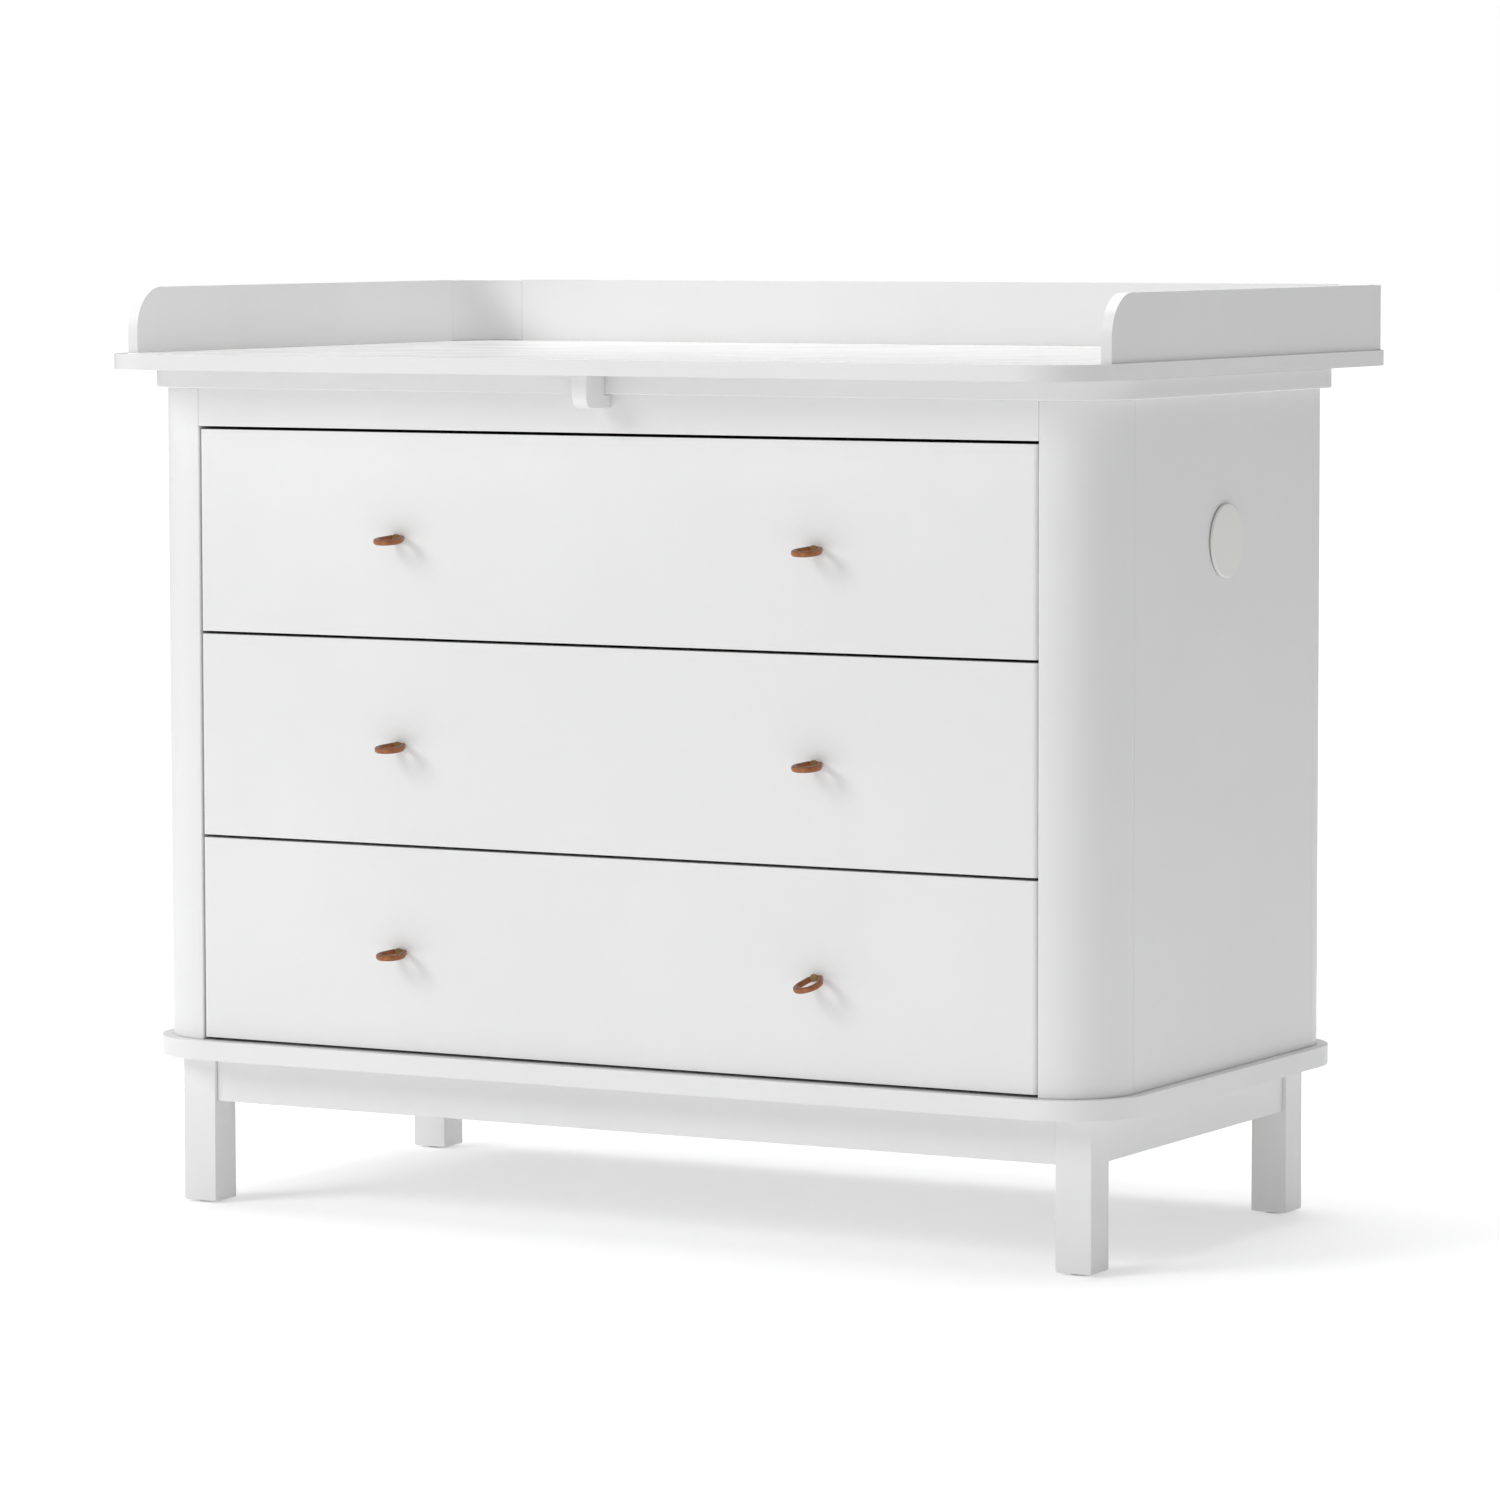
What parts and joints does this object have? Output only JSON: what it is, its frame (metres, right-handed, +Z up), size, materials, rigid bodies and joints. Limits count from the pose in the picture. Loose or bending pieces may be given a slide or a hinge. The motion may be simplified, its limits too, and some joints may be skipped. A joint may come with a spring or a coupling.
{
  "type": "changing table",
  "caption": "Nursery dresser with full-width drawers on soft-cornered boards, leather loop pulls and a walled changing top.",
  "frame": {"origin": "on the floor at the middle of the footprint", "axes": "+X to the viewer's right, -Y towards the user who stands at the drawer fronts, +Z up"},
  "size_m": [1.078, 0.722, 0.905],
  "materials": {
    "white_paint": "satin white lacquer on board and wood",
    "top_lacquer": "semi-gloss white laminate, easy to wipe",
    "cap_paint": "satin off-white",
    "cognac_leather": "vegetable-tanned cognac strap leather with burnished edges",
    "zinc_steel": "zinc-plated",
    "screw_brass": "aged brass",
    "birch_ply": "bare birch plywood",
    "drawer_ply": "white-stained birch plywood",
    "drawer_base": "white-faced thin board",
    "back_board": "white-faced board",
    "glide_felt": "pressed felt"
  },
  "bodies": {
    "cabinet": {"leg_front_left": "white_paint", "leg_front_right": "white_paint", "leg_rear_left": "white_paint", "leg_rear_right": "white_paint", "base_rail_front": "white_paint", "base_rail_rear": "white_paint", "base_rail_left": "white_paint", "base_rail_right": "white_paint", "leg_glides": "glide_felt", "corner_blocks": "birch_ply", "base_bolts": "zinc_steel", "base_board": "white_paint", "side_panel_left": "white_paint", "side_panel_right": "white_paint", "corner_post_front_left": "white_paint", "corner_post_front_right": "white_paint", "corner_post_rear_left": "white_paint", "corner_post_rear_right": "white_paint", "top_front_rail": "white_paint", "back_panel": "back_board", "top_board": "white_paint", "side_caps": "cap_paint", "runner_battens": "birch_ply", "cabinet_runners": "zinc_steel", "changing_board": "top_lacquer", "tray_wall_left": "white_paint", "tray_wall_right": "white_paint", "tray_wall_back": "white_paint", "tray_corners": "white_paint", "front_hook": "white_paint", "rear_stops": "white_paint", "tray_screws": "zinc_steel"},
    "drawer_bottom": {"drawer_front_bottom": "white_paint", "drawer_sides_bottom": "drawer_ply", "drawer_back_bottom": "drawer_ply", "drawer_base_bottom": "drawer_base", "drawer_runners_bottom": "zinc_steel", "pull_screws_bottom": "screw_brass"},
    "slide_bottom": {"mid_runners_bottom": "zinc_steel"},
    "pull_left_bottom": {"pull_left_bottom": "cognac_leather"},
    "pull_right_bottom": {"pull_right_bottom": "cognac_leather"},
    "drawer_middle": {"drawer_front_middle": "white_paint", "drawer_sides_middle": "drawer_ply", "drawer_back_middle": "drawer_ply", "drawer_base_middle": "drawer_base", "drawer_runners_middle": "zinc_steel", "pull_screws_middle": "screw_brass"},
    "slide_middle": {"mid_runners_middle": "zinc_steel"},
    "pull_left_middle": {"pull_left_middle": "cognac_leather"},
    "pull_right_middle": {"pull_right_middle": "cognac_leather"},
    "drawer_top": {"drawer_front_top": "white_paint", "drawer_sides_top": "drawer_ply", "drawer_back_top": "drawer_ply", "drawer_base_top": "drawer_base", "drawer_runners_top": "zinc_steel", "pull_screws_top": "screw_brass"},
    "slide_top": {"mid_runners_top": "zinc_steel"},
    "pull_left_top": {"pull_left_top": "cognac_leather"},
    "pull_right_top": {"pull_right_top": "cognac_leather"}
  },
  "joints": [
    {"name": "drawer_bottom_slide", "type": "slide", "parent": "cabinet", "child": "drawer_bottom", "axis": [0, -1, 0], "range_m": [0, 0.4]},
    {"name": "slide_bottom_travel", "type": "slide", "parent": "cabinet", "child": "slide_bottom", "axis": [0, -1, 0], "range_m": [0, 0.2]},
    {"name": "pull_left_bottom_swivel", "type": "hinge", "parent": "drawer_bottom", "child": "pull_left_bottom", "pos_m": [-0.228, -0.2905, 0.2665], "axis": [0, 1, 0], "range_deg": [-90, 90]},
    {"name": "pull_right_bottom_swivel", "type": "hinge", "parent": "drawer_bottom", "child": "pull_right_bottom", "pos_m": [0.228, -0.2905, 0.2665], "axis": [0, 1, 0], "range_deg": [-90, 90]},
    {"name": "drawer_middle_slide", "type": "slide", "parent": "cabinet", "child": "drawer_middle", "axis": [0, -1, 0], "range_m": [0, 0.4]},
    {"name": "slide_middle_travel", "type": "slide", "parent": "cabinet", "child": "slide_middle", "axis": [0, -1, 0], "range_m": [0, 0.2]},
    {"name": "pull_left_middle_swivel", "type": "hinge", "parent": "drawer_middle", "child": "pull_left_middle", "pos_m": [-0.228, -0.2905, 0.4665], "axis": [0, 1, 0], "range_deg": [-90, 90]},
    {"name": "pull_right_middle_swivel", "type": "hinge", "parent": "drawer_middle", "child": "pull_right_middle", "pos_m": [0.228, -0.2905, 0.4665], "axis": [0, 1, 0], "range_deg": [-90, 90]},
    {"name": "drawer_top_slide", "type": "slide", "parent": "cabinet", "child": "drawer_top", "axis": [0, -1, 0], "range_m": [0, 0.4]},
    {"name": "slide_top_travel", "type": "slide", "parent": "cabinet", "child": "slide_top", "axis": [0, -1, 0], "range_m": [0, 0.2]},
    {"name": "pull_left_top_swivel", "type": "hinge", "parent": "drawer_top", "child": "pull_left_top", "pos_m": [-0.228, -0.2905, 0.6665], "axis": [0, 1, 0], "range_deg": [-90, 90]},
    {"name": "pull_right_top_swivel", "type": "hinge", "parent": "drawer_top", "child": "pull_right_top", "pos_m": [0.228, -0.2905, 0.6665], "axis": [0, 1, 0], "range_deg": [-90, 90]}
  ],
  "couplings": [
    {"joint": "slide_bottom_travel", "follows": "drawer_bottom_slide", "ratio": 0.5},
    {"joint": "slide_middle_travel", "follows": "drawer_middle_slide", "ratio": 0.5},
    {"joint": "slide_top_travel", "follows": "drawer_top_slide", "ratio": 0.5}
  ]
}
